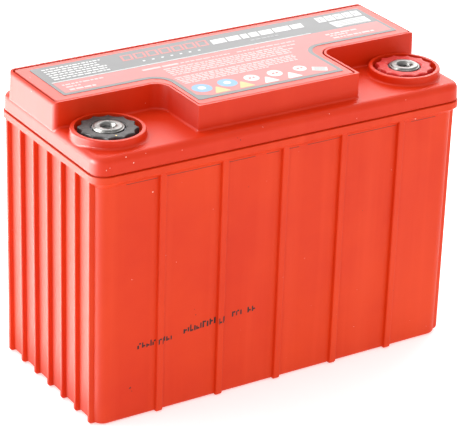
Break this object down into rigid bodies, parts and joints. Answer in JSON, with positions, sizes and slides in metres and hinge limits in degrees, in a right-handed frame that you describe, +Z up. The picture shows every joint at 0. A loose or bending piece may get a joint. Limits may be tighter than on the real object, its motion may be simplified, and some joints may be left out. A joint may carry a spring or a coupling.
{
  "type": "motorcycle battery",
  "caption": "Sealed lead-acid motorcycle battery with a ribbed red case, raised T-shaped lid deck and recessed threaded terminals in the front corners.",
  "frame": {"origin": "middle of the flat base, under the centre of the case", "axes": "+X along the length towards the positive terminal, +Y towards the plain back long side, away from the terminals, +Z up"},
  "size_m": [0.1778, 0.0856, 0.1313],
  "materials": {
    "case_plastic": "satin moulded red-orange case",
    "lid_plastic": "satin moulded red-orange lid",
    "cover_plastic": "satin moulded red-orange cover",
    "label_print": null,
    "black_nut": "moulded black",
    "red_nut": "moulded red",
    "cast_lead": "dull cast lead",
    "tinned_brass": "tin-plated",
    "seal_rubber": "matt rubber",
    "valve_rubber": "matt rubber",
    "positive_paste": "matt brown lead dioxide",
    "negative_paste": "matt grey sponge lead",
    "glass_mat": "white glass fibre mat"
  },
  "bodies": {
    "battery": {"case": "case_plastic", "lid": "lid_plastic", "cover_plate": "cover_plastic", "label": "label_print", "negative_ring_nut": "black_nut", "positive_ring_nut": "red_nut", "negative_terminal_post": "cast_lead", "negative_thread_insert": "tinned_brass", "negative_post_seal": "seal_rubber", "positive_terminal_post": "cast_lead", "positive_thread_insert": "tinned_brass", "positive_post_seal": "seal_rubber", "cell_1_positive_plates": "positive_paste", "cell_1_negative_plates": "negative_paste", "cell_1_separators": "glass_mat", "cell_1_positive_strap": "cast_lead", "cell_1_negative_strap": "cast_lead", "cell_2_positive_plates": "positive_paste", "cell_2_negative_plates": "negative_paste", "cell_2_separators": "glass_mat", "cell_2_positive_strap": "cast_lead", "cell_2_negative_strap": "cast_lead", "cell_3_positive_plates": "positive_paste", "cell_3_negative_plates": "negative_paste", "cell_3_separators": "glass_mat", "cell_3_positive_strap": "cast_lead", "cell_3_negative_strap": "cast_lead", "cell_4_positive_plates": "positive_paste", "cell_4_negative_plates": "negative_paste", "cell_4_separators": "glass_mat", "cell_4_positive_strap": "cast_lead", "cell_4_negative_strap": "cast_lead", "cell_5_positive_plates": "positive_paste", "cell_5_negative_plates": "negative_paste", "cell_5_separators": "glass_mat", "cell_5_positive_strap": "cast_lead", "cell_5_negative_strap": "cast_lead", "cell_6_positive_plates": "positive_paste", "cell_6_negative_plates": "negative_paste", "cell_6_separators": "glass_mat", "cell_6_positive_strap": "cast_lead", "cell_6_negative_strap": "cast_lead", "cell_connector_1": "cast_lead", "cell_connector_2": "cast_lead", "cell_connector_3": "cast_lead", "cell_connector_4": "cast_lead", "cell_connector_5": "cast_lead"},
    "valve_1": {"relief_valve_1": "valve_rubber"},
    "valve_2": {"relief_valve_2": "valve_rubber"},
    "valve_3": {"relief_valve_3": "valve_rubber"},
    "valve_4": {"relief_valve_4": "valve_rubber"},
    "valve_5": {"relief_valve_5": "valve_rubber"},
    "valve_6": {"relief_valve_6": "valve_rubber"}
  },
  "joints": [
    {"name": "valve_1_lift", "type": "slide", "parent": "battery", "child": "valve_1", "axis": [0, 0, 1], "range_m": [0, 0.0006], "stiffness_N_per_m": 200, "springref_m": -0.0015},
    {"name": "valve_2_lift", "type": "slide", "parent": "battery", "child": "valve_2", "axis": [0, 0, 1], "range_m": [0, 0.0006], "stiffness_N_per_m": 200, "springref_m": -0.0015},
    {"name": "valve_3_lift", "type": "slide", "parent": "battery", "child": "valve_3", "axis": [0, 0, 1], "range_m": [0, 0.0006], "stiffness_N_per_m": 200, "springref_m": -0.0015},
    {"name": "valve_4_lift", "type": "slide", "parent": "battery", "child": "valve_4", "axis": [0, 0, 1], "range_m": [0, 0.0006], "stiffness_N_per_m": 200, "springref_m": -0.0015},
    {"name": "valve_5_lift", "type": "slide", "parent": "battery", "child": "valve_5", "axis": [0, 0, 1], "range_m": [0, 0.0006], "stiffness_N_per_m": 200, "springref_m": -0.0015},
    {"name": "valve_6_lift", "type": "slide", "parent": "battery", "child": "valve_6", "axis": [0, 0, 1], "range_m": [0, 0.0006], "stiffness_N_per_m": 200, "springref_m": -0.0015}
  ]
}
